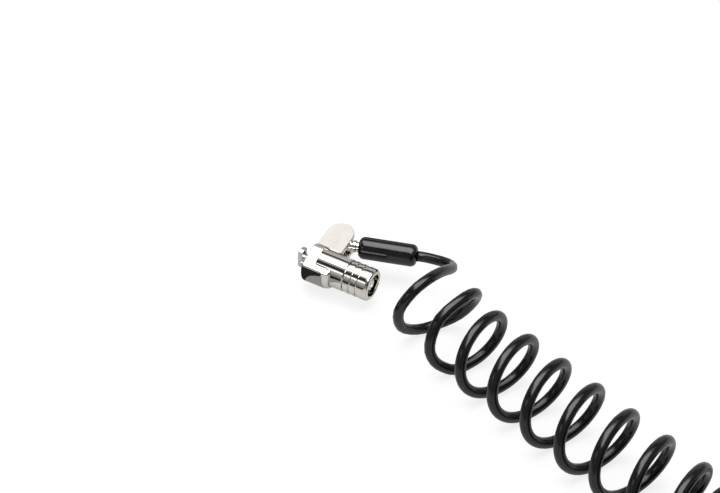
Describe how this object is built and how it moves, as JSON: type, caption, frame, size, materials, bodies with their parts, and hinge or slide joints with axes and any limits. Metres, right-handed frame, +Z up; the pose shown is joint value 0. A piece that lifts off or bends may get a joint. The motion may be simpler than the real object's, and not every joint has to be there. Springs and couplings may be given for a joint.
{
  "type": "laptop cable lock",
  "caption": "Keyed push-to-lock barrel with a T-bar for a computer's security slot, a swivelling two-eared cable anchor and a self-coiling black cable with an end loop.",
  "frame": {"origin": "centre of the nose face that rests on the computer round the security slot", "axes": "+X out along the barrel, towards the key well; +Y towards the side of the cable anchor; +Z up"},
  "size_m": [0.1994, 0.0839, 0.0229],
  "materials": {
    "nickel": "polished bright nickel plate on zinc",
    "hard_steel": "ground hardened steel",
    "inner_steel": "plain turned steel",
    "spring_steel": "drawn spring wire",
    "brass": "turned brass",
    "black_sleeve": "glossy moulded black plastic",
    "cable_steel": "twisted steel strands",
    "black_vinyl": "glossy black vinyl jacket"
  },
  "bodies": {
    "head": {"barrel": "nickel", "stop_pin": "inner_steel", "nose_plate": "nickel", "spindle_bush": "brass", "return_spring": "spring_steel"},
    "carriage": {"grip_shell": "nickel", "pin_carrier": "inner_steel", "locking_pins": "hard_steel", "cam_nut": "brass", "lock_stator": "brass", "driver_pins": "hard_steel", "driver_springs": "spring_steel"},
    "tbar": {"tbar_spindle": "hard_steel", "spindle_clip": "spring_steel", "cam_screw": "hard_steel"},
    "rotor": {"key_rotor": "nickel", "key_pins": "brass", "tail_cam": "inner_steel"},
    "latch": {"latch_bolt": "hard_steel"},
    "anchor": {"anchor_collar": "nickel", "pivot_rivet": "hard_steel"},
    "cable": {"swivel_eye": "nickel", "crimp_ferrule": "nickel", "cable_sleeve": "black_sleeve", "cable_crimp": "inner_steel", "cable_core": "cable_steel", "cable_lead": "black_vinyl", "cable_coil": "black_vinyl", "cable_store": "black_vinyl", "cable_loop": "black_vinyl", "loop_crimp": "inner_steel", "loop_sleeve": "black_sleeve"}
  },
  "joints": [
    {"name": "push_to_lock", "type": "slide", "parent": "head", "child": "carriage", "axis": [1, 0, 0], "range_m": [0, 0.003]},
    {"name": "tbar_turn", "type": "hinge", "parent": "head", "child": "tbar", "pos_m": [0, 0, 0], "axis": [1, 0, 0], "range_deg": [0, 90]},
    {"name": "key_turn", "type": "hinge", "parent": "carriage", "child": "rotor", "pos_m": [0.017, 0, 0], "axis": [1, 0, 0], "range_deg": [0, 90]},
    {"name": "latch_throw", "type": "slide", "parent": "carriage", "child": "latch", "axis": [0, 0, 1], "range_m": [0, 0.00075]},
    {"name": "anchor_swivel", "type": "hinge", "parent": "head", "child": "anchor", "pos_m": [0.002, 0, 0], "axis": [1, 0, 0], "continuous": true},
    {"name": "cable_pivot", "type": "hinge", "parent": "anchor", "child": "cable", "pos_m": [0.0041, 0.00919, 0.00145], "axis": [0, -0.1564, 0.9877], "range_deg": [-16, 74]}
  ],
  "couplings": [
    {"joint": "tbar_turn", "follows": "push_to_lock", "rad_per_m": 523.59},
    {"joint": "key_turn", "follows": "latch_throw", "rad_per_m": 2094}
  ]
}
